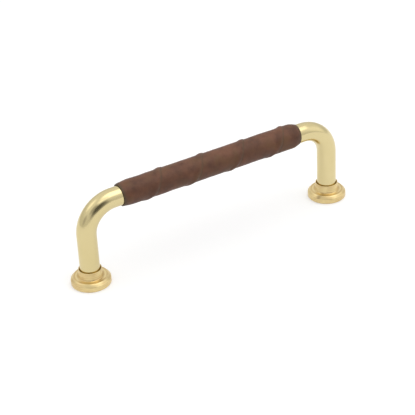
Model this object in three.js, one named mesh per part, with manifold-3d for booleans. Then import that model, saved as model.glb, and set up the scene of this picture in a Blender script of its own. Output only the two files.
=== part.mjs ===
// A cabinet pull: a bent brass bar stands on two turned brass feet, and its grip is wound with
// one leather strip. Millimetres. The origin is on the door's face, midway between the feet;
// X runs along the grip, Y across it and Z out from the door.
import * as THREE from "three";
import { mergeVertices } from "three/addons/utils/BufferGeometryUtils.js";
import Module from "manifold-3d";

// Bent bar
const HOLE_SPACING = 128; // centre to centre of the two fixing screws
const BAR_DIAMETER = 9;
const BEND_RADIUS = 14; // to the bar's centreline
const GRIP_HEIGHT = 38.2; // from the door's face to the grip's centreline
const THREAD_CORE_DIAMETER = 3.3; // bore of an M4 thread
const THREAD_DEPTH = 12;
const DRILL_POINT_ANGLE = 118; // degrees

// Feet
const FLANGE_DIAMETER = 18;
const FLANGE_THICKNESS = 3.8;
const FLANGE_BEVEL_WIDTH = 1.2; // round the top of the rim
const FLANGE_BEVEL_HEIGHT = 1.3;
const FLANGE_BASE_CHAMFER = 0.4;
const COLLAR_HEIGHT = 3.7; // above the flange
const COLLAR_TOP_WALL = 0.55; // round the leg's socket
const COLLAR_TAPER = 0.45; // how much further out the collar stands at its base
const COLLAR_FILLET = 0.7; // where the collar meets the flange
const COLLAR_TOP_ROUND = 0.1;
const COLLAR_RIM_WIDTH = 0.1; // flat, between that round and the socket's mouth
const SOCKET_DEPTH = 3.7; // how far a leg stands in its foot
const SOCKET_CLEARANCE = 0.15; // all round a leg
const SOCKET_MOUTH_DEPTH = 0.6; // of the chamfer that lets the leg in
const SCREW_HOLE_DIAMETER = 4.5; // clearance hole for an M4 screw
const SCREW_HOLE_CHAMFER = 0.4;

// Leather strip
const LEATHER_THICKNESS = 1.1;
const SKIVED_THICKNESS = 0.35; // at the edge that lies under the next turn
const PITCH = 21.5; // one turn's advance along the grip
const LAP = 2.4; // how far a turn lies over the one before it
const CLIMB = 1.8; // length over which a turn rises on to the lap
const EDGE_BEVEL = 1.5; // width of the bevel along the visible edge
const EDGE_THICKNESS = 0.12; // what the bevel leaves of that edge
const GLUE_LINE = 0.1; // under the strip and between its layers
const SEAM_AT_TOP = -3.8; // X of one seam where it crosses the top of the grip
const LEFT_BARE_LENGTH = 3.5; // between the left bend and the leather
const RIGHT_BARE_LENGTH = 3.3;
const LEFT_END_PARING = 5; // length over which the winding's ends are thinned
const LEFT_END_THICKNESS = 0.5;
const RIGHT_END_PARING = 4.5;
const RIGHT_END_THICKNESS = 0.3;

// Fineness of the round forms
const ROUND_SIDES = 36;
const BEND_STEPS = 12;
const ARC_STEPS = 3; // three.js doubles this on an arc
const CUT_OVERRUN = 1; // how far the cutting form of a bore sticks out

const BAR_RADIUS = BAR_DIAMETER / 2;
const COLLAR_TOP = FLANGE_THICKNESS + COLLAR_HEIGHT;
const SEAT_HEIGHT = COLLAR_TOP - SOCKET_DEPTH;
const HALF_GRIP = HOLE_SPACING / 2 - BEND_RADIUS;

const wasm = await Module();
wasm.setup();

function toSolid(geometry) {
  const bare = geometry.clone();
  bare.deleteAttribute("normal");
  bare.deleteAttribute("uv");
  const merged = mergeVertices(bare, 1e-4);
  return new wasm.Manifold(
    new wasm.Mesh({
      numProp: 3,
      vertProperties: merged.attributes.position.array,
      triVerts: new Uint32Array(merged.index.array),
    }),
  );
}

function toGeometry(solid) {
  const mesh = solid.getMesh();
  const geometry = new THREE.BufferGeometry();
  geometry.setAttribute("position", new THREE.BufferAttribute(mesh.vertProperties, 3));
  geometry.setIndex(new THREE.BufferAttribute(mesh.triVerts, 1));
  geometry.computeVertexNormals();
  return geometry;
}

// A profile of (radius, height) points turned about +Z.
function turned(points) {
  return new THREE.LatheGeometry(points, ROUND_SIDES).rotateX(Math.PI / 2);
}

// The bar's centreline: up the left leg, round its bend, along the grip, and down the right leg.
// Its sections are one for each leg, one for the grip and BEND_STEPS for each bend, and equal
// steps of the parameter go from one section to the next.
class BarLine extends THREE.Curve {
  static sections = 2 * BEND_STEPS + 3;

  getPoint(t, target = new THREE.Vector3()) {
    const side = t < 0.5 ? -1 : 1;
    const section = Math.min(t, 1 - t) * BarLine.sections;
    const bendFoot = GRIP_HEIGHT - BEND_RADIUS;
    if (section <= 1) {
      const z = THREE.MathUtils.lerp(SEAT_HEIGHT, bendFoot, section);
      return target.set((side * HOLE_SPACING) / 2, 0, z);
    }
    if (section <= 1 + BEND_STEPS) {
      const angle = (((section - 1) / BEND_STEPS) * Math.PI) / 2;
      const x = HALF_GRIP + BEND_RADIUS * Math.cos(angle);
      return target.set(side * x, 0, bendFoot + BEND_RADIUS * Math.sin(angle));
    }
    const share = (section - 1 - BEND_STEPS) / 0.5;
    return target.set(side * HALF_GRIP * (1 - share), 0, GRIP_HEIGHT);
  }

  getUtoTmapping(u) {
    return u;
  }
}

// The plain bore of a leg's thread, with the cone that the drill leaves at its end.
function threadBore() {
  const radius = THREAD_CORE_DIAMETER / 2;
  const cone = radius / Math.tan(THREE.MathUtils.degToRad(DRILL_POINT_ANGLE / 2));
  const path = new THREE.Path();
  path.moveTo(0, SEAT_HEIGHT - CUT_OVERRUN);
  path.lineTo(radius, SEAT_HEIGHT - CUT_OVERRUN);
  path.lineTo(radius, SEAT_HEIGHT + THREAD_DEPTH);
  path.lineTo(0, SEAT_HEIGHT + THREAD_DEPTH + cone);
  return turned(path.getPoints());
}

function bentBar() {
  const section = new THREE.Shape().absarc(0, 0, BAR_RADIUS, 0, 2 * Math.PI);
  let bar = toSolid(
    new THREE.ExtrudeGeometry(section, {
      extrudePath: new BarLine(),
      steps: BarLine.sections,
      curveSegments: ROUND_SIDES / 2,
    }),
  );
  for (const side of [-1, 1]) {
    const bore = threadBore().translate((side * HOLE_SPACING) / 2, 0, 0);
    bar = bar.subtract(toSolid(bore));
  }
  return toGeometry(bar);
}

// A foot's half section: bevelled flange, fillet, tapering collar, then down inside the leg's
// socket, with its chamfered mouth, and the screw hole. Both collar rounds touch the collar's
// slanting side.
function foot() {
  const flange = FLANGE_DIAMETER / 2;
  const socket = BAR_RADIUS + SOCKET_CLEARANCE;
  const hole = SCREW_HOLE_DIAMETER / 2;
  const collarTop = socket + COLLAR_TOP_WALL;
  const collarBase = collarTop + COLLAR_TAPER;
  const lean = Math.atan(COLLAR_TAPER / COLLAR_HEIGHT);
  const reach = (1 - Math.sin(lean)) / Math.cos(lean);
  const filletX = collarBase + COLLAR_FILLET * reach;
  const filletZ = FLANGE_THICKNESS + COLLAR_FILLET;
  const roundX = collarTop - COLLAR_TOP_ROUND * reach;
  const roundZ = COLLAR_TOP - COLLAR_TOP_ROUND;
  const path = new THREE.Path();
  path.moveTo(hole + SCREW_HOLE_CHAMFER, 0);
  path.lineTo(flange - FLANGE_BASE_CHAMFER, 0);
  path.lineTo(flange, FLANGE_BASE_CHAMFER);
  path.lineTo(flange, FLANGE_THICKNESS - FLANGE_BEVEL_HEIGHT);
  path.lineTo(flange - FLANGE_BEVEL_WIDTH, FLANGE_THICKNESS);
  path.absarc(filletX, filletZ, COLLAR_FILLET, -Math.PI / 2, lean - Math.PI, true);
  path.absarc(roundX, roundZ, COLLAR_TOP_ROUND, lean, Math.PI / 2, false);
  path.lineTo(roundX - COLLAR_RIM_WIDTH, COLLAR_TOP);
  path.lineTo(socket, COLLAR_TOP - SOCKET_MOUTH_DEPTH);
  path.lineTo(socket, SEAT_HEIGHT);
  path.lineTo(hole, SEAT_HEIGHT);
  path.lineTo(hole, SCREW_HOLE_CHAMFER);
  path.closePath();
  return turned(path.getPoints(ARC_STEPS));
}

// The strip's cross-section, along the grip and up from the glue line. Its left edge is pared to
// lie under the next turn, and its right edge climbs on to the turn before it and is bevelled.
function stripSection() {
  const rise = SKIVED_THICKNESS + GLUE_LINE;
  const top = LEATHER_THICKNESS + rise;
  const right = PITCH + LAP;
  const shape = new THREE.Shape();
  shape.moveTo(0, 0);
  shape.lineTo(PITCH - CLIMB, 0);
  shape.lineTo(PITCH - GLUE_LINE, rise);
  shape.lineTo(right, LEATHER_THICKNESS + GLUE_LINE);
  shape.lineTo(right, LEATHER_THICKNESS + GLUE_LINE + EDGE_THICKNESS);
  shape.lineTo(right - EDGE_BEVEL, top);
  shape.lineTo(PITCH, top);
  shape.lineTo(PITCH - CLIMB, LEATHER_THICKNESS);
  shape.lineTo(LAP, LEATHER_THICKNESS);
  shape.lineTo(0, SKIVED_THICKNESS);
  return shape;
}

// What the two trimmed ends leave of the winding, as a solid turned about the grip: cut square
// at both ends, and pared down towards each cut.
function trimming(left, right, bareRadius) {
  const outside = bareRadius + LEATHER_THICKNESS + SKIVED_THICKNESS + 2 * GLUE_LINE;
  const path = new THREE.Path();
  path.moveTo(0, left);
  path.lineTo(bareRadius + LEFT_END_THICKNESS, left);
  path.lineTo(outside, left + LEFT_END_PARING);
  path.lineTo(outside, right - RIGHT_END_PARING);
  path.lineTo(bareRadius + RIGHT_END_THICKNESS, right);
  path.lineTo(0, right);
  return turned(path.getPoints()).rotateY(Math.PI / 2);
}

// The leather strip, wound leftwards from the right end so that each turn laps the one before
// it, and trimmed square at both ends. A flat strip whose length counts turns is bent round the
// grip: after each whole turn, from the top towards -Y, it has moved left by the pitch.
function leatherStrip() {
  const left = LEFT_BARE_LENGTH - HALF_GRIP;
  const right = HALF_GRIP - RIGHT_BARE_LENGTH;
  const bareRadius = BAR_RADIUS + GLUE_LINE;
  const firstTurn = Math.floor((SEAM_AT_TOP - right) / PITCH) - 1;
  const lastTurn = Math.ceil((SEAM_AT_TOP - LAP - left) / PITCH) + 1;
  const turns = lastTurn - firstTurn;
  const strip = new THREE.ExtrudeGeometry(stripSection(), {
    depth: turns,
    steps: turns * ROUND_SIDES,
    bevelEnabled: false,
  });
  const place = strip.attributes.position;
  for (let i = 0; i < place.count; i += 1) {
    const turn = firstTurn + place.getZ(i);
    const angle = 2 * Math.PI * turn;
    const radius = bareRadius + place.getY(i);
    const x = SEAM_AT_TOP - PITCH * turn + place.getX(i) - PITCH - LAP;
    place.setXYZ(i, x, -radius * Math.sin(angle), radius * Math.cos(angle));
  }
  const wound = toSolid(strip).intersect(toSolid(trimming(left, right, bareRadius)));
  return toGeometry(wound).translate(0, 0, GRIP_HEIGHT);
}

function piece(name, geometry, material) {
  const mesh = new THREE.Mesh(geometry, material);
  mesh.name = name;
  return mesh;
}

const barBrass = new THREE.MeshStandardMaterial({ color: 0xdecf9c, metalness: 1, roughness: 0.25 });
const footBrass = new THREE.MeshStandardMaterial({ color: 0xd9b878, metalness: 1, roughness: 0.32 });
const leather = new THREE.MeshStandardMaterial({ color: 0x6e4c3c, metalness: 0, roughness: 0.65 });

const pull = new THREE.Group();
pull.add(piece("bent_bar", bentBar(), barBrass));
pull.add(piece("leather_strip", leatherStrip(), leather));
for (const [name, side] of [["left_foot", -1], ["right_foot", 1]]) {
  const mesh = piece(name, foot(), footBrass.clone());
  mesh.position.x = (side * HOLE_SPACING) / 2;
  pull.add(mesh);
}

export default pull;
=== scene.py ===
# A cabinet pull: a bent brass bar stands on two turned brass feet, and its grip is wound with one
# leather strip. The sections follow the pull as it is put together. Metres, in the model's frame:
# the origin is on the door's face midway between the feet, X along the grip, Z out from the door.
import math

import bmesh
import bpy
import numpy as np
from mathutils import Matrix, Vector


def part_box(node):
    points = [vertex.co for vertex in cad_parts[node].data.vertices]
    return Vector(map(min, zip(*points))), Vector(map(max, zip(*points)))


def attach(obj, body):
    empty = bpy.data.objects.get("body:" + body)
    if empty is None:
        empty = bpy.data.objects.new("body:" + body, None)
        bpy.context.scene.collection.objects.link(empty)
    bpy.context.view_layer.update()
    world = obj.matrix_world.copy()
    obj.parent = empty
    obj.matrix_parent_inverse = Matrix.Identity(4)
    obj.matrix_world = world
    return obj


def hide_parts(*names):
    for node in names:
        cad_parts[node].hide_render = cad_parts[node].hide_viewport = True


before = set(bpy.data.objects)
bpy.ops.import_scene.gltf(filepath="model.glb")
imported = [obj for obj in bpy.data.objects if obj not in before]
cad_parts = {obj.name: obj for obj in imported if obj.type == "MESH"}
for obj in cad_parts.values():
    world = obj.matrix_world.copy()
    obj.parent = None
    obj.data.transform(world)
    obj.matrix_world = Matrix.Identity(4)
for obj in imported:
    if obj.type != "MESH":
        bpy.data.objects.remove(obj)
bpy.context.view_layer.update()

# Camera. A long lens looks down on the pull from the front left, rolled slightly. The values come
# from fitting a camera to the outlines of the legs, the bends and the feet, and the two aims are
# the small slopes by which the lens's axis passes beside the point that the camera circles.
MM = 0.001
CAMERA_AZIMUTH = math.radians(-30.551)
CAMERA_ELEVATION = math.radians(30.473)
CAMERA_ROLL = math.radians(-3.046)
CAMERA_DISTANCE = 659.6 * MM
CIRCLED_POINT = Vector((0, 0, 18 * MM))
AIM_RIGHT = -0.00316
AIM_UP = -0.00316
FOCAL_LENGTH_PIXELS = 1449.5
FRAME_PIXELS = 415

back = Vector((
    math.sin(CAMERA_AZIMUTH) * math.cos(CAMERA_ELEVATION),
    -math.cos(CAMERA_AZIMUTH) * math.cos(CAMERA_ELEVATION),
    math.sin(CAMERA_ELEVATION),
))
level_right = (-back).cross(Vector((0, 0, 1))).normalized()
level_up = level_right.cross(-back)
rolled_right = level_right * math.cos(CAMERA_ROLL) + level_up * math.sin(CAMERA_ROLL)
rolled_up = level_up * math.cos(CAMERA_ROLL) - level_right * math.sin(CAMERA_ROLL)
forward = (-back + AIM_RIGHT * rolled_right + AIM_UP * rolled_up).normalized()
right = (rolled_right - rolled_right.dot(forward) * forward).normalized()
turned_camera = Matrix((right, right.cross(forward), -forward)).transposed().to_4x4()

lens = bpy.data.cameras.new("camera")
lens.lens = lens.sensor_width * FOCAL_LENGTH_PIXELS / FRAME_PIXELS
camera = bpy.data.objects.new("camera", lens)
camera.matrix_world = Matrix.Translation(CIRCLED_POINT + CAMERA_DISTANCE * back) @ turned_camera
bpy.context.scene.collection.objects.link(camera)
bpy.context.scene.camera = camera

# Bent bar. One round brass rod, 9 mm thick, with both ends bent down into legs. It is drawn, bent
# cold and polished, and the end of each leg is drilled and tapped for an M4 screw.
BEND_RADIUS = 14 * MM
LEG_END_CHAMFER = 0.3 * MM
THREAD_PITCH = 0.7 * MM
THREAD_CORE_RADIUS = 1.65 * MM
THREAD_OUTER_RADIUS = 2 * MM
THREAD_MOUTH_RADIUS = 2.2 * MM
THREAD_DEPTH = 12 * MM
THREAD_RUN_OUT = 1.2 * MM  # over which the thread dies away at the bottom of its bore
THREAD_FLAT = 0.125  # of its depth, cut off the V at its tip and again at its root
DRILL_POINT_ANGLE = math.radians(118)
BAR_SIDES = 96
BEND_STEPS = 48
STEP_LENGTH = 2 * MM
STEPS_PER_THREAD = 10
BAR_BRASS = "DACB9C"
BAR_BRASS_DEEP = "D1C18E"
BAR_SMOOTHEST = 0.13
BAR_ROUGHEST = 0.2
BAR_TONE_SIZE = 12 * MM
POLISH_WAVE = 6 * MM
POLISH_WAVE_DEPTH = 0.06 * MM
DRAWN_LINE_WIDTH = 0.15  # as coarse as it has to be to show, in millimetres as the UV map is
DRAWN_LINE_LENGTH = 20
DRAWN_LINE_DEPTH = 0.01 * MM
MERGE_DISTANCE = 0.0002 * MM
SHARP_ANGLE = math.radians(35)
NOISE_LOW = 0.3  # nearly all values of a noise texture lie between these two
NOISE_HIGH = 0.7

bar_low, bar_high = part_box("bent_bar")
BAR_RADIUS = bar_high.y
LEG_X = bar_high.x - BAR_RADIUS
GRIP_Z = bar_high.z - BAR_RADIUS
LEG_END_Z = bar_low.z


def surface(name, rows, u, v, ring=False, marks={}):
    """A piece over the grid of points rows[station, around]. The around direction closes on
    itself, and so do the stations of a ring. u and v are the UV map, with one more column, and
    on a ring one more row, for where the pattern comes round. marks are named values of the
    points. Points that fall together, as at a pole, are merged, and edges that turn by more
    than SHARP_ANGLE stay sharp."""
    stations, around = rows.shape[:2]
    i = np.arange(stations if ring else stations - 1)[:, None]
    j = np.arange(around)[None, :]
    places = [(i, j), (i, j + 1), (i + 1, j + 1), (i + 1, j)]
    corners = np.stack([(a % stations) * around + b % around for a, b in places], -1)
    loops = np.stack([np.stack([u[place], v[place]], -1) for place in places], -2)
    mesh = bpy.data.meshes.new(name)
    mesh.from_pydata(rows.reshape(-1, 3), [], corners.reshape(-1, 4).tolist())
    mesh.uv_layers.new(name="surface").data.foreach_set("uv", loops.ravel())
    for mark, values in marks.items():
        mesh.attributes.new(mark, "FLOAT", "POINT").data.foreach_set("value", values.ravel())
    edit = bmesh.new()
    edit.from_mesh(mesh)
    bmesh.ops.remove_doubles(edit, verts=edit.verts, dist=MERGE_DISTANCE)
    edit.to_mesh(mesh)
    edit.free()
    mesh.shade_smooth()
    mesh.set_sharp_from_angle(angle=SHARP_ANGLE)
    piece = bpy.data.objects.new(name, mesh)
    bpy.context.scene.collection.objects.link(piece)
    return piece


def lengths_along(points):
    """How far each point of a line lies from its start, in millimetres, along the line."""
    steps = np.linalg.norm(np.diff(points, axis=0), axis=1)
    return np.concatenate([[0], np.cumsum(steps)]) / MM


def thread_radius(height, turn):
    """The tapped bore's wall: the radius rises from the core to the outer radius and falls back
    once in each pitch, as a V with its tip and root cut flat, and the V climbs one pitch in one
    turn. It dies away towards the bottom of the bore."""
    share = (height / THREAD_PITCH - turn) % 1
    rise = (1 + 2 * THREAD_FLAT) * (1 - np.abs(2 * share - 1)) - THREAD_FLAT
    fade = np.clip((THREAD_DEPTH - height) / THREAD_RUN_OUT, 0, 1)
    depth = (THREAD_OUTER_RADIUS - THREAD_CORE_RADIUS) * np.clip(rise, 0, 1)
    return THREAD_CORE_RADIUS + depth * fade


def half_bar(side):
    """One half of the bar's skin as rings: from the drill's point in the leg down the thread,
    over the leg's end, up the leg, round the bend and along the grip to the middle. A ring is
    centre + radius * (cos(t) * outward + sin(t) * -Y), where outward turns with the bend from
    away from the grip's middle to straight up."""
    around = np.arange(BAR_SIDES) * 2 * np.pi / BAR_SIDES
    cone = THREAD_CORE_RADIUS / math.tan(DRILL_POINT_ANGLE / 2)
    threads = np.linspace(THREAD_DEPTH, 0, round(THREAD_DEPTH / THREAD_PITCH * STEPS_PER_THREAD))
    leg_top = GRIP_Z - BEND_RADIUS
    leg_start = LEG_END_Z + LEG_END_CHAMFER
    leg = np.linspace(leg_start, leg_top, round((leg_top - leg_start) / STEP_LENGTH))
    bend = np.linspace(0, np.pi / 2, BEND_STEPS + 1)[1:]
    half_grip = LEG_X - BEND_RADIUS
    grip = np.linspace(half_grip, 0, round(half_grip / STEP_LENGTH))[1:]
    inside = np.concatenate([[THREAD_DEPTH + cone], threads[:-1], [0, 0]]) + LEG_END_Z
    z = np.concatenate([inside, leg, leg_top + BEND_RADIUS * np.sin(bend), GRIP_Z + 0 * grip])
    straight = len(inside) + len(leg)
    x = np.concatenate([np.full(straight, LEG_X), half_grip + BEND_RADIUS * np.cos(bend), grip])
    lean = np.concatenate([np.zeros(straight), bend, np.full(len(grip), np.pi / 2)])
    turn = -side * around / (2 * np.pi)
    radius = np.full((len(z), BAR_SIDES), BAR_RADIUS)
    radius[0] = 0
    radius[1:len(threads)] = thread_radius(threads[:-1, None], turn[None, :])
    radius[len(threads)] = THREAD_MOUTH_RADIUS
    radius[len(threads) + 1] = BAR_RADIUS - LEG_END_CHAMFER
    level = radius * np.cos(around)
    return np.stack([
        side * (x[:, None] + level * np.cos(lean)[:, None]),
        -radius * np.sin(around),
        z[:, None] + level * np.sin(lean)[:, None],
    ], -1)


left_half, right_half = half_bar(-1), half_bar(1)
bar_rows = np.concatenate([left_half, right_half[-2::-1]])
bar_along = lengths_along(bar_rows[:, BAR_SIDES // 4])
bar_around = np.arange(BAR_SIDES + 1) * 2 * np.pi / BAR_SIDES * BAR_RADIUS / MM
bar_v, bar_u = np.meshgrid(bar_along, bar_around, indexing="ij")
bar = surface("brass_bar", bar_rows, bar_u, bar_v)


def linear(colour):
    """An sRGB hex colour as linear red, green, blue and alpha."""
    srgb = np.array([int(colour[k:k + 2], 16) for k in (0, 2, 4)]) / 255
    return (*np.where(srgb < 0.04045, srgb / 12.92, ((srgb + 0.055) / 1.055) ** 2.4), 1)


def add(tree, kind, inputs={}, **settings):
    """Adds a node with its settings. Each input, by name or number, is a value or a socket."""
    node = tree.nodes.new(kind)
    for name, value in settings.items():
        setattr(node, name, value)
    for place, value in inputs.items():
        if isinstance(value, bpy.types.NodeSocket):
            tree.links.new(value, node.inputs[place])
        else:
            node.inputs[place].default_value = value
    return node


def new_material(name, **values):
    """A material with its shader node and tree. values are the shader's own sockets."""
    material = bpy.data.materials.new(name)
    material.use_nodes = True
    shader = material.node_tree.nodes["Principled BSDF"]
    for socket, value in values.items():
        shader.inputs[socket.replace("_", " ")].default_value = value
    return material, material.node_tree, shader


# Polished drawn brass: a pale yellow mirror that is a little soft, with a faint wave left by the
# polishing wheel and hairlines along the rod, so reflections have soft, slightly uneven edges.
bar_brass, tree, shader = new_material("polished_drawn_brass", Metallic=1.0)
place = add(tree, "ShaderNodeTexCoord").outputs["Object"]
tone = add(
    tree, "ShaderNodeTexNoise",
    {"Vector": place, "Scale": 1 / BAR_TONE_SIZE, "Detail": 2.0},
).outputs["Fac"]
colour = add(
    tree, "ShaderNodeMix",
    {0: tone, 6: linear(BAR_BRASS), 7: linear(BAR_BRASS_DEEP)},
    data_type="RGBA",
)
tree.links.new(colour.outputs[2], shader.inputs["Base Color"])
map_mm = add(tree, "ShaderNodeUVMap", uv_map="surface").outputs["UV"]
drawn = add(
    tree, "ShaderNodeMapping",
    {"Vector": map_mm, "Scale": (1 / DRAWN_LINE_WIDTH, 1 / DRAWN_LINE_LENGTH, 1)},
)
hairlines = add(
    tree, "ShaderNodeTexNoise",
    {"Vector": drawn.outputs["Vector"], "Scale": 1.0, "Detail": 3.0, "Roughness": 0.6},
).outputs["Fac"]
gloss = add(
    tree, "ShaderNodeMapRange",
    {
        "Value": hairlines, "From Min": NOISE_LOW, "From Max": NOISE_HIGH,
        "To Min": BAR_SMOOTHEST, "To Max": BAR_ROUGHEST,
    },
)
tree.links.new(gloss.outputs["Result"], shader.inputs["Roughness"])
wave = add(tree, "ShaderNodeTexNoise", {"Vector": place, "Scale": 1 / POLISH_WAVE, "Detail": 1.0})
wavy = add(
    tree, "ShaderNodeBump",
    {"Height": wave.outputs["Fac"], "Strength": 0.5, "Distance": POLISH_WAVE_DEPTH},
)
lined = add(
    tree, "ShaderNodeBump",
    {
        "Height": hairlines, "Strength": 0.15, "Distance": DRAWN_LINE_DEPTH,
        "Normal": wavy.outputs["Normal"],
    },
)
tree.links.new(lined.outputs["Normal"], shader.inputs["Normal"])

bar.data.materials.append(bar_brass)
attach(bar, "root")
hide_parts("bent_bar")

# Feet. Each is turned from brass bar on a lathe: a flange 18 mm across with a bevelled rim, and a
# tapering collar with a socket for the leg and a hole for the screw in its floor. The screw that
# comes through the door pulls the leg down into it.
FLANGE_THICKNESS = 3.8 * MM
FLANGE_BEVEL_WIDTH = 1.2 * MM  # round the top of the rim
FLANGE_BEVEL_HEIGHT = 1.3 * MM
FLANGE_RIM_ROUND = 0.5 * MM  # on both of the bevel's edges
FLANGE_BASE_CHAMFER = 0.4 * MM
COLLAR_BASE_RADIUS = 5.65 * MM
COLLAR_TOP_RADIUS = 5.2 * MM
COLLAR_FILLET = 0.7 * MM
COLLAR_TOP_ROUND = 0.1 * MM
SOCKET_RADIUS = BAR_RADIUS + 0.15 * MM
SCREW_HOLE_RADIUS = 2.25 * MM
SCREW_HOLE_CHAMFER = 0.4 * MM
SOCKET_MOUTH_WIDTH = 0.35 * MM  # of the chamfer that lets the leg in
SOCKET_MOUTH_DEPTH = 0.45 * MM
EDGE_BREAK = 0.06 * MM  # what the turner's file leaves of a sharp edge
ARC_STEPS = 9
FOOT_SIDES = 144
FOOT_BRASS = "E3CE97"
FOOT_BRASS_DEEP = "D0B480"
FOOT_SMOOTHEST = 0.3
FOOT_ROUGHEST = 0.4
FOOT_TONE_SIZE = 4 * MM
LATHE_FEED = 0.16  # millimetres between the tool's marks
LATHE_BAND = 0.8  # groups of marks, as coarse as they have to be to show
LATHE_MARK_DEPTH = 0.02 * MM


def rounded(corners):
    """A closed outline from its corners (radius from the axis, height, rounding): each corner
    becomes an arc of its rounding that touches both of its sides."""
    corners = np.array(corners)
    at, rounding = corners[:, :2], corners[:, 2:]
    to_last = np.roll(at, 1, 0) - at
    to_next = np.roll(at, -1, 0) - at
    to_last /= np.linalg.norm(to_last, axis=1, keepdims=True)
    to_next /= np.linalg.norm(to_next, axis=1, keepdims=True)
    half = np.arccos((to_last * to_next).sum(1, keepdims=True)) / 2
    middle = to_last + to_next
    middle /= np.linalg.norm(middle, axis=1, keepdims=True)
    centre = at + middle * rounding / np.sin(half)
    start = at + to_last * rounding / np.tan(half) - centre
    end = at + to_next * rounding / np.tan(half) - centre
    swing = np.pi - 2 * half[:, :, None]
    share = np.linspace(0, 1, ARC_STEPS)[None, :, None]
    arcs = start[:, None] * np.sin((1 - share) * swing) + end[:, None] * np.sin(share * swing)
    return (centre[:, None] + arcs / np.sin(swing)).reshape(-1, 2)


def turned_foot(name, node):
    """A foot in the place of its node: the outline turned about the node's upright axis."""
    low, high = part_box(node)
    axis_x = (low.x + high.x) / 2
    flange = (high.x - low.x) / 2
    outline = rounded([
        (SCREW_HOLE_RADIUS + SCREW_HOLE_CHAMFER, 0, EDGE_BREAK),
        (flange - FLANGE_BASE_CHAMFER, 0, EDGE_BREAK),
        (flange, FLANGE_BASE_CHAMFER, EDGE_BREAK),
        (flange, FLANGE_THICKNESS - FLANGE_BEVEL_HEIGHT, FLANGE_RIM_ROUND),
        (flange - FLANGE_BEVEL_WIDTH, FLANGE_THICKNESS, FLANGE_RIM_ROUND),
        (COLLAR_BASE_RADIUS, FLANGE_THICKNESS, COLLAR_FILLET),
        (COLLAR_TOP_RADIUS, high.z, COLLAR_TOP_ROUND),
        (SOCKET_RADIUS + SOCKET_MOUTH_WIDTH, high.z, EDGE_BREAK),
        (SOCKET_RADIUS, high.z - SOCKET_MOUTH_DEPTH, EDGE_BREAK),
        (SOCKET_RADIUS, LEG_END_Z, EDGE_BREAK),
        (SCREW_HOLE_RADIUS, LEG_END_Z, EDGE_BREAK),
        (SCREW_HOLE_RADIUS, SCREW_HOLE_CHAMFER, EDGE_BREAK),
    ])
    around = np.arange(FOOT_SIDES) * 2 * np.pi / FOOT_SIDES
    radius, height = outline[:, :1], outline[:, 1:]
    points = np.stack([
        axis_x + radius * np.cos(around),
        radius * np.sin(around),
        height + 0 * around,
    ], -1)
    along = lengths_along(np.concatenate([outline, outline[:1]]))
    turns = np.arange(FOOT_SIDES + 1) / FOOT_SIDES
    v, u = np.meshgrid(along, turns, indexing="ij")
    return surface(name, points, u, v, ring=True)


# Turned brass, not lacquered: warmer than the bar, with rings from the lathe tool that soften and
# streak its reflections round the axis. U counts turns round the foot, so only V is scaled.
foot_brass, tree, shader = new_material(
    "turned_brass", Metallic=1.0, Anisotropic=0.35, Anisotropic_Rotation=0.25,
)
map_mm = add(tree, "ShaderNodeUVMap", uv_map="surface").outputs["UV"]
rings = add(tree, "ShaderNodeSeparateXYZ", {"Vector": map_mm}).outputs["Y"]
feed = add(
    tree, "ShaderNodeTexNoise",
    {"W": rings, "Scale": 1 / LATHE_FEED, "Detail": 2.0},
    noise_dimensions="1D",
).outputs["Fac"]
band = add(
    tree, "ShaderNodeTexNoise",
    {"W": rings, "Scale": 1 / LATHE_BAND, "Detail": 1.0},
    noise_dimensions="1D",
).outputs["Fac"]
place = add(tree, "ShaderNodeTexCoord").outputs["Object"]
tone = add(
    tree, "ShaderNodeTexNoise",
    {"Vector": place, "Scale": 1 / FOOT_TONE_SIZE, "Detail": 2.0},
).outputs["Fac"]
shade = add(tree, "ShaderNodeMath", {0: band, 1: tone}, operation="MULTIPLY")
deepening = add(
    tree, "ShaderNodeMapRange",
    {"Value": shade.outputs["Value"], "From Min": 0.15, "From Max": 0.4},
)
colour = add(
    tree, "ShaderNodeMix",
    {0: deepening.outputs["Result"], 6: linear(FOOT_BRASS), 7: linear(FOOT_BRASS_DEEP)},
    data_type="RGBA",
)
tree.links.new(colour.outputs[2], shader.inputs["Base Color"])
gloss = add(
    tree, "ShaderNodeMapRange",
    {
        "Value": band, "From Min": NOISE_LOW, "From Max": NOISE_HIGH,
        "To Min": FOOT_SMOOTHEST, "To Max": FOOT_ROUGHEST,
    },
)
tree.links.new(gloss.outputs["Result"], shader.inputs["Roughness"])
marks = add(tree, "ShaderNodeMath", {0: feed, 1: band}, operation="ADD")
ringed = add(
    tree, "ShaderNodeBump",
    {"Height": marks.outputs["Value"], "Strength": 0.3, "Distance": LATHE_MARK_DEPTH},
)
tree.links.new(ringed.outputs["Normal"], shader.inputs["Normal"])
along_rings = add(tree, "ShaderNodeTangent", direction_type="UV_MAP", uv_map="surface")
tree.links.new(along_rings.outputs["Tangent"], shader.inputs["Tangent"])

for name, node in [("turned_foot_left", "left_foot"), ("turned_foot_right", "right_foot")]:
    foot = turned_foot(name, node)
    foot.data.materials.append(foot_brass)
    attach(foot, "root")
    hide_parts(node)

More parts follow.
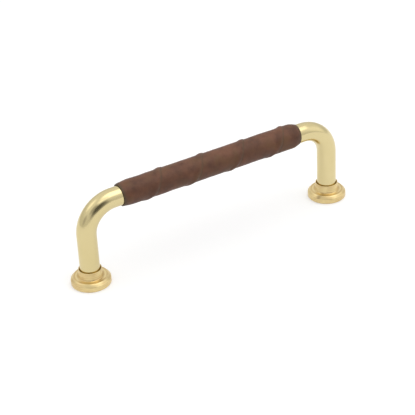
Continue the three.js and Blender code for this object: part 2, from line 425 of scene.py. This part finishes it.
# Leather strip. One strip of brown vegetable-tanned leather, about 20 mm wide and 1.1 mm thick,
# with its edges pared. It is glued and wound on by hand, leftwards from the right end, so that
# each turn laps the one before it. Both ends are trimmed across the grip and pressed thin.
LEATHER_THICKNESS = 1.1 * MM
SKIVED_THICKNESS = 0.35 * MM  # at the pared edge, which the next turn covers
PITCH = 21.5 * MM
LAP = 2.4 * MM
CLIMB = 1.8 * MM  # over which the strip bends up on to the turn beneath
CLIMB_CLEARANCE = 0.2 * MM  # its underside is up this far before that turn's edge
RIDGE_ROUNDING = 0.8 * MM  # its grain side still rises this far past that edge
EDGE_BEVEL = 1.5 * MM  # along the edge that shows
EDGE_BEVEL_BOW = 1.5  # exponent of its fall
EDGE_THICKNESS = 0.08 * MM
GLUE_LINE = 0.02 * MM
SEAM_AT_TOP = -3.8 * MM  # where a seam crosses the top of the grip
LEFT_OUT_OF_SQUARE = 0.12 * MM  # of the end's cut, made by hand
RIGHT_OUT_OF_SQUARE = 0.4 * MM
LEFT_END_PRESSED = 0.45  # share of the thickness that is left at the trimmed end
LEFT_PRESSED_LENGTH = 6 * MM
RIGHT_END_PRESSED = 0.27
RIGHT_PRESSED_LENGTH = 4 * MM
SWAY = 0.6 * MM  # of the seam, because the strip is wound by hand
SWAY_ANGLE = math.radians(-34)  # round the grip, where the seam doesn't sway
SEAM_WANDER = 0.25 * MM
SEAM_WANDER_LENGTH = 40 * MM
SEAM_WANDER_WAVES = 5
SWAY_FADE = 9 * MM  # over which the sway dies away towards an end
FULLNESS = 0.05  # share by which the wound leather is fuller than the flat strip
FULLNESS_ONE_SIDE = 0.09  # and by which it is fuller still at SWAY_ANGLE, and thinner opposite
BROAD_LUMPS = 0.03  # unevenness of the hide, as shares of its thickness
BROAD_LUMP_LENGTH = 26 * MM
FINE_LUMPS = 0.012
FINE_LUMP_LENGTH = 6 * MM
LUMP_WAVES = 9
LUMP_FADE = 2 * MM  # over which fullness and lumps die away towards an end
STEPS_PER_TURN = 112
PARED_POINTS = 7
FLAT_POINTS = 44
LAPPED_POINTS = 40
# Widths of the darkening painted by the cut mark, near the trimmed ends and on both sides of each
# seam: partly burnished cut edge, partly painted shade of the seam's step on the turn beneath and
# of the pressed ends.
END_BURNISH_AND_SHADE = 1.8 * MM
SEAM_BURNISH_AND_SHADE = 1.1 * MM
SEAM_BURNISH_AND_SHADE_SHARE = 0.55

strip_low, strip_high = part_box("leather_strip")
STRIP_WIDTH = PITCH + LAP


def ease(share):
    """0 below 0, 1 above 1, and the smooth step 3s^2 - 2s^3 between them."""
    share = np.clip(share, 0, 1)
    return share * share * (3 - 2 * share)


def strip_under(across):
    """Height of the strip's underside over the bar: on the bar, then up past the pared edge of
    the turn before it, and along that edge's slope."""
    climb = ease((across - PITCH + CLIMB) / (CLIMB - CLIMB_CLEARANCE))
    slope = np.clip((across - PITCH) / LAP, 0, 1)
    return (SKIVED_THICKNESS + GLUE_LINE) * climb + (LEATHER_THICKNESS - SKIVED_THICKNESS) * slope


def strip_top(across):
    """Height of the strip's grain side: pared down to its left edge, flat, and then a rounded
    ridge over the lap that falls away to a thin right edge."""
    pared = np.clip(1 - across / LAP, 0, 1) * (LEATHER_THICKNESS - SKIVED_THICKNESS)
    rise = SKIVED_THICKNESS + GLUE_LINE
    ridge = rise * ease((across - PITCH + CLIMB) / (CLIMB + RIDGE_ROUNDING))
    bevel = np.clip((across - STRIP_WIDTH + EDGE_BEVEL) / EDGE_BEVEL, 0, 1) ** EDGE_BEVEL_BOW
    return LEATHER_THICKNESS - pared + ridge - (rise - GLUE_LINE - EDGE_THICKNESS) * bevel


def ripple(x, angle, count, longest, seed):
    """A smooth uneven field on the winding, about -1 to 1: a sum of sine waves over the root of
    their count. Each runs up to three times round the grip, either way, and its length along
    the grip is between a third of the longest and the longest."""
    draw = np.random.default_rng(seed)
    field = np.zeros(np.broadcast(x, angle).shape)
    for _ in range(count):
        around = draw.integers(-3, 4)
        along = 2 * np.pi / longest * draw.uniform(1, 3)
        field += np.sin(around * angle + along * x + draw.uniform(0, 2 * np.pi))
    return field / math.sqrt(count)


def pressed(from_left, from_right):
    """Share of the leather's thickness that the trimming leaves near each end: a quarter sine
    of the distance from that end."""
    left = np.clip(from_left / LEFT_PRESSED_LENGTH, 0, 1)
    right = np.clip(from_right / RIGHT_PRESSED_LENGTH, 0, 1)
    left = LEFT_END_PRESSED + (1 - LEFT_END_PRESSED) * np.sin(left * np.pi / 2)
    right = RIGHT_END_PRESSED + (1 - RIGHT_END_PRESSED) * np.sin(right * np.pi / 2)
    return left * right


first_turn = (SEAM_AT_TOP - STRIP_WIDTH - strip_high.x) / PITCH
last_turn = (SEAM_AT_TOP - strip_low.x) / PITCH
steps = round((last_turn - first_turn) * STEPS_PER_TURN)
turn = np.linspace(first_turn, last_turn, steps)[:, None]
edge_x = SEAM_AT_TOP - PITCH * turn
left_cut = strip_low.x - LEFT_OUT_OF_SQUARE * np.cos(2 * np.pi * turn)
right_cut = strip_high.x + RIGHT_OUT_OF_SQUARE * np.cos(2 * np.pi * turn)
kept = ((edge_x > left_cut) & (edge_x - STRIP_WIDTH < right_cut))[:, 0]
turn, edge_x, left_cut, right_cut = turn[kept], edge_x[kept], left_cut[kept], right_cut[kept]
pared_part = np.linspace(0, LAP, PARED_POINTS)
flat_part = np.linspace(LAP, PITCH - CLIMB, FLAT_POINTS)
lapped_part = np.linspace(PITCH - CLIMB, STRIP_WIDTH, LAPPED_POINTS)
under_across = np.concatenate([[0, LAP / 2], flat_part[::3], lapped_part[1::2]])
top_across = np.concatenate([pared_part, flat_part[1:], lapped_part[1:]])[::-1]
across = np.concatenate([under_across, top_across])[None, :]
across = np.clip(across, left_cut - edge_x + STRIP_WIDTH, right_cut - edge_x + STRIP_WIDTH)
across = np.clip(across, 0, STRIP_WIDTH)
is_top = np.arange(across.shape[1]) >= len(under_across)
height = np.where(is_top, strip_top(across), strip_under(across))
angle = 2 * np.pi * turn + 0 * across
x = edge_x + across - STRIP_WIDTH
end_distance = np.minimum(x - left_cut, right_cut - x)
lumps = BROAD_LUMPS * ripple(x, angle, LUMP_WAVES, BROAD_LUMP_LENGTH, seed=5)
lumps += FINE_LUMPS * ripple(x, 3 * angle, LUMP_WAVES, FINE_LUMP_LENGTH, seed=8)
lumps += FULLNESS + FULLNESS_ONE_SIDE * np.cos(angle - SWAY_ANGLE)
height *= pressed(x - left_cut, right_cut - x) * (1 + lumps * ease(end_distance / LUMP_FADE))
sway = SWAY * (1 - np.cos(angle - SWAY_ANGLE))
sway += SEAM_WANDER * ripple(x, angle, SEAM_WANDER_WAVES, SEAM_WANDER_LENGTH, seed=3)
x = x + sway * ease(end_distance / SWAY_FADE)
radius = BAR_RADIUS + GLUE_LINE + height
strip_rows = np.stack([x, -radius * np.sin(angle), GRIP_Z + radius * np.cos(angle)], -1)
strip_rows[[0, -1]] = strip_rows[[0, -1]].mean(1, keepdims=True)  # each tip closes in a point

# The cut mark: 1 at each trimmed end and, at a share, along both sides of each seam, fading
# within the widths above. Partly it is the burnished edge; partly it is painted shade, where the
# seam's step shades the turn beneath and where the pressed ends slope down to the bar.
to_seam = np.minimum(np.abs(across - LAP), STRIP_WIDTH - across)
seam_burnish_and_shade = SEAM_BURNISH_AND_SHADE_SHARE * (1 - ease(to_seam / SEAM_BURNISH_AND_SHADE))
cut = np.maximum(1 - ease(end_distance / END_BURNISH_AND_SHADE), seam_burnish_and_shade)
mid_girth = 2 * np.pi * (BAR_RADIUS + LEATHER_THICKNESS / 2)
strip_length = turn * math.hypot(mid_girth, PITCH) / MM + 0 * across
strip_u = np.concatenate([strip_length, strip_length[:, :1]], 1)
strip_v = np.concatenate([across, across[:, :1]], 1) / MM
strip = surface("leather_winding", strip_rows, strip_u, strip_v, marks={"cut": cut})

# Vegetable-tanned cowhide, dyed brown and waxed: matt with a soft sheen at glancing angles, fine
# pores and creases, and cloudy colour. It is darker near its ends and seams, partly from
# burnished cut edges and partly from painted shade beside the seams' steps and at the pressed
# ends.
LEATHER_BROWN = "6F4834"
LEATHER_DARK = "553728"
LEATHER_OCHRE = "684A30"
# the colour of the cut mark: burnished edge and painted shade
LEATHER_BURNISH_AND_SHADE = "554330"
LEATHER_SMOOTHEST = 0.46
LEATHER_ROUGHEST = 0.6
PORE_SIZE = 0.45 * MM  # as coarse as they have to be to show
PORE_DEPTH = 0.08 * MM
CREASE_SIZE = 1.6 * MM
CREASE_DEPTH = 0.2 * MM
CLOUD_SIZE = 6 * MM
OCHRE_SHARE = 0.6  # the most of it in the brown
OCHRE_SHIFT = (0.1, 0.2, 0.3)  # so that the ochre clouds lie apart from the dark ones

leather, tree, shader = new_material(
    "vegetable_tanned_leather",
    Sheen_Weight=0.08, Sheen_Roughness=0.3, Specular_IOR_Level=0.32,
)
place = add(tree, "ShaderNodeTexCoord").outputs["Object"]
clouds = add(
    tree, "ShaderNodeTexNoise",
    {"Vector": place, "Scale": 1 / CLOUD_SIZE, "Detail": 4.0, "Roughness": 0.6},
).outputs["Fac"]
cloudy = add(tree, "ShaderNodeMapRange", {"Value": clouds, "From Min": 0.35, "From Max": 0.68})
colour = add(
    tree, "ShaderNodeMix",
    {0: cloudy.outputs["Result"], 6: linear(LEATHER_BROWN), 7: linear(LEATHER_DARK)},
    data_type="RGBA",
).outputs[2]
other_place = add(tree, "ShaderNodeMapping", {"Vector": place, "Location": OCHRE_SHIFT})
hue = add(
    tree, "ShaderNodeTexNoise",
    {"Vector": other_place.outputs["Vector"], "Scale": 1 / CLOUD_SIZE, "Detail": 1.0},
).outputs["Fac"]
ochre = add(
    tree, "ShaderNodeMapRange",
    {"Value": hue, "From Min": 0.5, "From Max": 0.72, "To Max": OCHRE_SHARE},
)
colour = add(
    tree, "ShaderNodeMix",
    {0: ochre.outputs["Result"], 6: colour, 7: linear(LEATHER_OCHRE)},
    data_type="RGBA",
).outputs[2]
# The cut mark blends in the darker colour: burnished edges, with painted shade beside the seams
# and at the ends.
burnish_and_shade_share = add(tree, "ShaderNodeAttribute", attribute_name="cut").outputs["Fac"]
colour = add(
    tree, "ShaderNodeMix",
    {0: burnish_and_shade_share, 6: colour, 7: linear(LEATHER_BURNISH_AND_SHADE)},
    data_type="RGBA",
).outputs[2]
tree.links.new(colour, shader.inputs["Base Color"])
pores = add(
    tree, "ShaderNodeTexVoronoi",
    {"Vector": place, "Scale": 1 / PORE_SIZE},
    feature="SMOOTH_F1",
).outputs["Distance"]
creases = add(
    tree, "ShaderNodeTexNoise",
    {"Vector": place, "Scale": 1 / CREASE_SIZE, "Detail": 6.0, "Roughness": 0.65},
).outputs["Fac"]
gloss = add(
    tree, "ShaderNodeMapRange",
    {
        "Value": creases, "From Min": NOISE_LOW, "From Max": NOISE_HIGH,
        "To Min": LEATHER_SMOOTHEST, "To Max": LEATHER_ROUGHEST,
    },
)
tree.links.new(gloss.outputs["Result"], shader.inputs["Roughness"])
creased = add(
    tree, "ShaderNodeBump",
    {"Height": creases, "Strength": 0.6, "Distance": CREASE_DEPTH},
).outputs["Normal"]
grained = add(
    tree, "ShaderNodeBump",
    {"Height": pores, "Strength": 0.35, "Distance": PORE_DEPTH, "Normal": creased},
)
tree.links.new(grained.outputs["Normal"], shader.inputs["Normal"])

strip.data.materials.append(leather)
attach(strip, "root")
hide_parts("leather_strip")

# Floor. A plain white sheet that the pull stands on. To the eye and in the brass it is also lit
# from below, which brings it to white and leaves the pull's shadow on it. From underneath it can
# be looked through.
FLOOR_HALF = 4  # metres from its middle to its edge
FLOOR_GAP = 0.02 * MM
FLOOR_COLOUR = "D8D8D8"
FLOOR_GLOW = 0.38

floor_mesh = bpy.data.meshes.new("floor")
corners = [(-1, -1), (1, -1), (1, 1), (-1, 1)]
floor_mesh.from_pydata(
    [(FLOOR_HALF * a, FLOOR_HALF * b, -FLOOR_GAP) for a, b in corners], [], [(0, 1, 2, 3)],
)
floor = bpy.data.objects.new("floor", floor_mesh)
bpy.context.scene.collection.objects.link(floor)
paper, tree, shader = new_material("white_paper", Roughness=1.0, Specular_IOR_Level=0.0)
rays = add(tree, "ShaderNodeLightPath").outputs
looked_at = add(
    tree, "ShaderNodeMath",
    {0: rays["Is Camera Ray"], 1: rays["Is Glossy Ray"]},
    operation="MAXIMUM",
).outputs["Value"]
looked_at = add(
    tree, "ShaderNodeMath",
    {0: looked_at, 1: rays["Is Transmission Ray"]},
    operation="MAXIMUM",
).outputs["Value"]
glow = add(tree, "ShaderNodeMath", {0: looked_at, 1: FLOOR_GLOW}, operation="MULTIPLY")
shader.inputs["Base Color"].default_value = linear(FLOOR_COLOUR)
shader.inputs["Emission Color"].default_value = (1, 1, 1, 1)
tree.links.new(glow.outputs["Value"], shader.inputs["Emission Strength"])
under_side = add(tree, "ShaderNodeNewGeometry").outputs["Backfacing"]
clear = add(tree, "ShaderNodeBsdfTransparent").outputs["BSDF"]
one_sided = add(tree, "ShaderNodeMixShader", {0: under_side, 1: shader.outputs["BSDF"], 2: clear})
tree.links.new(one_sided.outputs["Shader"], tree.nodes["Material Output"].inputs["Surface"])
floor_mesh.materials.append(paper)

# Light. One large soft box hangs over the pull in a white room. The brass mirrors more of the
# room: bright patches high on the right, over the camera and behind on the left, pale walls on
# the right, dim ones on the left and low in front, and the dark that the camera stands in.
SOFT_BOX_SIZE = 1.6
SOFT_BOX_PLACE = (0.2, -0.2, 1.0)
SOFT_BOX_WATTS = 7
ROOM_LIGHT = 0.62  # share of its brightness by which the room lights matt surfaces
HORIZON = 0.8  # brightness of the room below and level with the pull; it is 1 overhead
HORIZON_LOW = 0.2  # sines of the elevations between which it rises
HORIZON_HIGH = 0.65
ROOM = (
    # azimuth and elevation of a patch, the angles from its middle within which it is whole and
    # beyond which it is gone, and its brightness
    (47, 69, 9, 34, 2.2),
    (-15, 62, 6, 20, 1.45),
    (85, 38, 8, 26, 1.0),
    (60, 24, 10, 28, 1.2),
    (-125, 48, 2, 21, 1.5),
    (-80, 16, 2, 16, 0.55),
    (0, 13, 5, 17, 0.34),
    (-45, 39, 6, 19, 0.5),
    (-15, 26, 8, 26, 0.12),
)

box_light = bpy.data.lights.new("soft_box", "AREA")
box_light.shape = "SQUARE"
box_light.size = SOFT_BOX_SIZE
box_light.energy = SOFT_BOX_WATTS
soft_box = bpy.data.objects.new("soft_box", box_light)
soft_box.location = SOFT_BOX_PLACE
soft_box.visible_glossy = False
bpy.context.scene.collection.objects.link(soft_box)

world = bpy.data.worlds.new("studio")
world.use_nodes = True
bpy.context.scene.world = world
tree = world.node_tree
direction = add(tree, "ShaderNodeTexCoord").outputs["Generated"]
height = add(tree, "ShaderNodeSeparateXYZ", {"Vector": direction}).outputs["Z"]
level = add(
    tree, "ShaderNodeMapRange",
    {
        "Value": height, "From Min": HORIZON_LOW, "From Max": HORIZON_HIGH,
        "To Min": HORIZON, "To Max": 1.0,
    },
    interpolation_type="SMOOTHSTEP",
).outputs["Result"]
for azimuth, elevation, whole, gone, brightness in ROOM:
    a, e = math.radians(azimuth), math.radians(elevation)
    towards = (math.sin(a) * math.cos(e), -math.cos(a) * math.cos(e), math.sin(e))
    near = add(tree, "ShaderNodeVectorMath", {0: direction, 1: towards}, operation="DOT_PRODUCT")
    mask = add(
        tree, "ShaderNodeMapRange",
        {
            "Value": near.outputs["Value"],
            "From Min": math.cos(math.radians(gone)),
            "From Max": math.cos(math.radians(whole)),
        },
        interpolation_type="SMOOTHSTEP",
    ).outputs["Result"]
    level = add(
        tree, "ShaderNodeMix", {0: mask, 2: level, 3: brightness}, data_type="FLOAT",
    ).outputs[0]
rays = add(tree, "ShaderNodeLightPath").outputs
lighting = add(
    tree, "ShaderNodeMath", {0: level, 1: ROOM_LIGHT}, operation="MULTIPLY",
).outputs["Value"]
strength = add(
    tree, "ShaderNodeMix", {0: rays["Is Glossy Ray"], 2: lighting, 3: level}, data_type="FLOAT",
).outputs[0]
seen = add(
    tree, "ShaderNodeMath",
    {0: rays["Is Camera Ray"], 1: rays["Is Transmission Ray"]},
    operation="MAXIMUM",
).outputs["Value"]
strength = add(
    tree, "ShaderNodeMix", {0: seen, 2: strength, 3: 1.0}, data_type="FLOAT",
).outputs[0]
background = tree.nodes["Background"]
background.inputs["Color"].default_value = (1, 1, 1, 1)
tree.links.new(strength, background.inputs["Strength"])

bpy.context.scene.view_settings.view_transform = "Standard"
